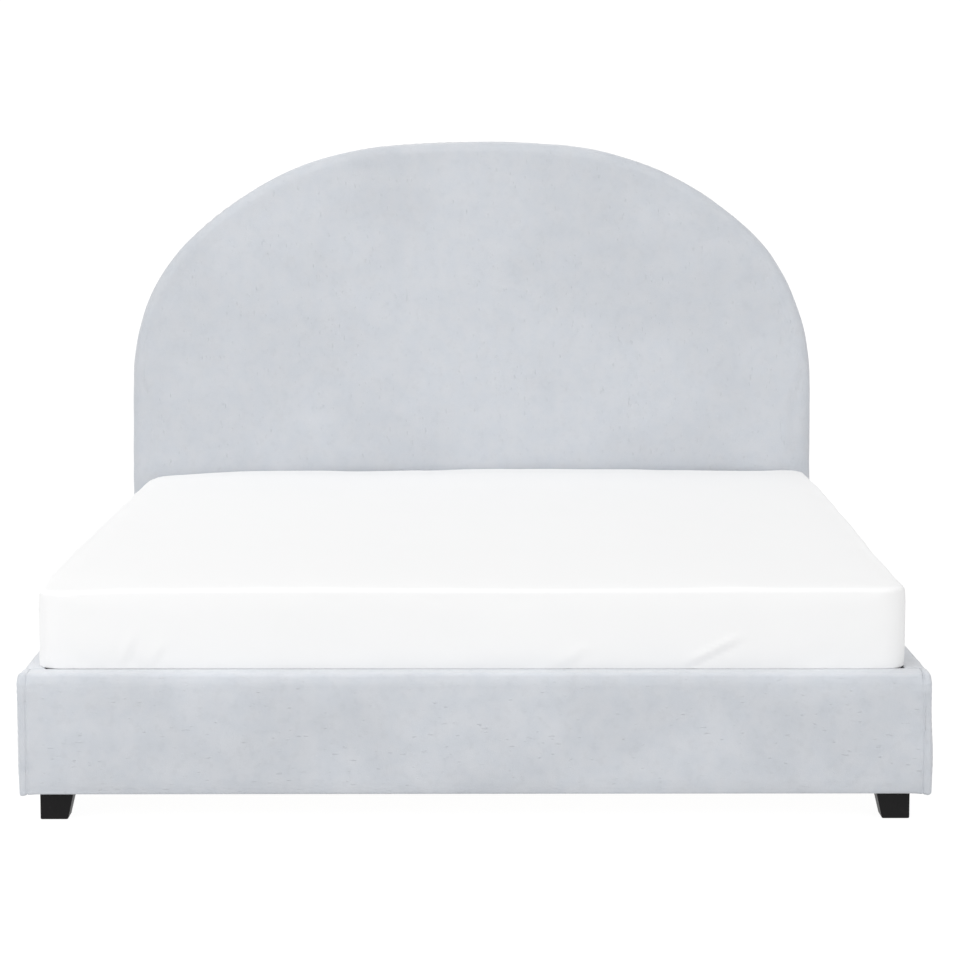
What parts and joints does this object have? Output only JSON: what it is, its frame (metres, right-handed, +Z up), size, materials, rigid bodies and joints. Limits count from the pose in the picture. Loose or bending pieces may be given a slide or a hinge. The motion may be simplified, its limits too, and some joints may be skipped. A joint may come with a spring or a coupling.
{
  "type": "double bed",
  "caption": "Low upholstered double bed with an arched headboard, black block feet, a slatted base on a centre beam and a mattress in a white fitted sheet.",
  "frame": {"origin": "on the floor at the centre of the footprint", "axes": "+Y from the footboard to the headboard, +Z up, +X to the right seen from the foot end"},
  "size_m": [1.68, 2.166, 1.2378],
  "materials": {
    "upholstery": "pale blue-grey woven velvet with a short nap",
    "dust_cloth": "black non-woven",
    "foam": "open foam",
    "plywood": "raw",
    "timber": "raw pine",
    "zinc_steel": "zinc plated",
    "black_wood": "satin black stain",
    "slat_birch": "clear lacquer",
    "cap_plastic": "moulded, fine grain",
    "black_steel": "powder coated, satin",
    "glide_plastic": "smooth",
    "mattress_foam": "foam block",
    "comfort_foam": "soft foam",
    "sheet_cotton": "plain white cotton"
  },
  "bodies": {
    "frame": {"headboard_cover": "upholstery", "headboard_lining": "dust_cloth", "headboard_foam": "foam", "headboard_panel": "plywood", "headboard_post_left": "timber", "headboard_post_right": "timber", "headboard_cross_rails": "timber", "headboard_arch_rib": "timber", "footboard_cover": "upholstery", "footboard_foam": "foam", "footboard_front_board": "plywood", "footboard_back_board": "plywood", "footboard_spacers": "timber", "side_rail_cover_left": "upholstery", "side_rail_foam_left": "foam", "side_rail_board_left": "plywood", "slat_ledger_left": "timber", "side_rail_cover_right": "upholstery", "side_rail_foam_right": "foam", "side_rail_board_right": "plywood", "slat_ledger_right": "timber", "corner_bracket_foot_left": "zinc_steel", "corner_bracket_head_left": "zinc_steel", "corner_bracket_foot_right": "zinc_steel", "corner_bracket_head_right": "zinc_steel", "corner_bolts": "zinc_steel", "wood_screws": "zinc_steel", "foot_studs": "zinc_steel", "block_foot_foot_left": "black_wood", "block_foot_head_left": "black_wood", "block_foot_foot_right": "black_wood", "block_foot_head_right": "black_wood", "slat_row_01": "slat_birch", "slat_row_02": "slat_birch", "slat_row_03": "slat_birch", "slat_row_04": "slat_birch", "slat_row_05": "slat_birch", "slat_row_06": "slat_birch", "slat_row_07": "slat_birch", "slat_row_08": "slat_birch", "slat_row_09": "slat_birch", "slat_row_10": "slat_birch", "slat_row_11": "slat_birch", "slat_row_12": "slat_birch", "slat_row_13": "slat_birch", "slat_row_14": "slat_birch", "slat_caps_outer": "cap_plastic", "slat_caps_centre": "cap_plastic", "centre_beam": "timber", "beam_hanger_foot": "zinc_steel", "beam_hanger_head": "zinc_steel", "centre_leg_1": "black_steel", "centre_leg_2": "black_steel", "centre_leg_3": "black_steel"},
    "mattress": {"mattress_core": "mattress_foam", "mattress_comfort_layer": "comfort_foam", "fitted_sheet": "sheet_cotton"},
    "glide_1": {"centre_glide_1": "glide_plastic"},
    "glide_2": {"centre_glide_2": "glide_plastic"},
    "glide_3": {"centre_glide_3": "glide_plastic"}
  },
  "joints": [
    {"name": "mattress_lift", "type": "slide", "parent": "frame", "child": "mattress", "axis": [0, 0, 1], "range_m": [0, 0.25]},
    {"name": "glide_1_extend", "type": "slide", "parent": "frame", "child": "glide_1", "axis": [0, 0, -1], "range_m": [0, 0.012]},
    {"name": "glide_2_extend", "type": "slide", "parent": "frame", "child": "glide_2", "axis": [0, 0, -1], "range_m": [0, 0.012]},
    {"name": "glide_3_extend", "type": "slide", "parent": "frame", "child": "glide_3", "axis": [0, 0, -1], "range_m": [0, 0.012]}
  ]
}
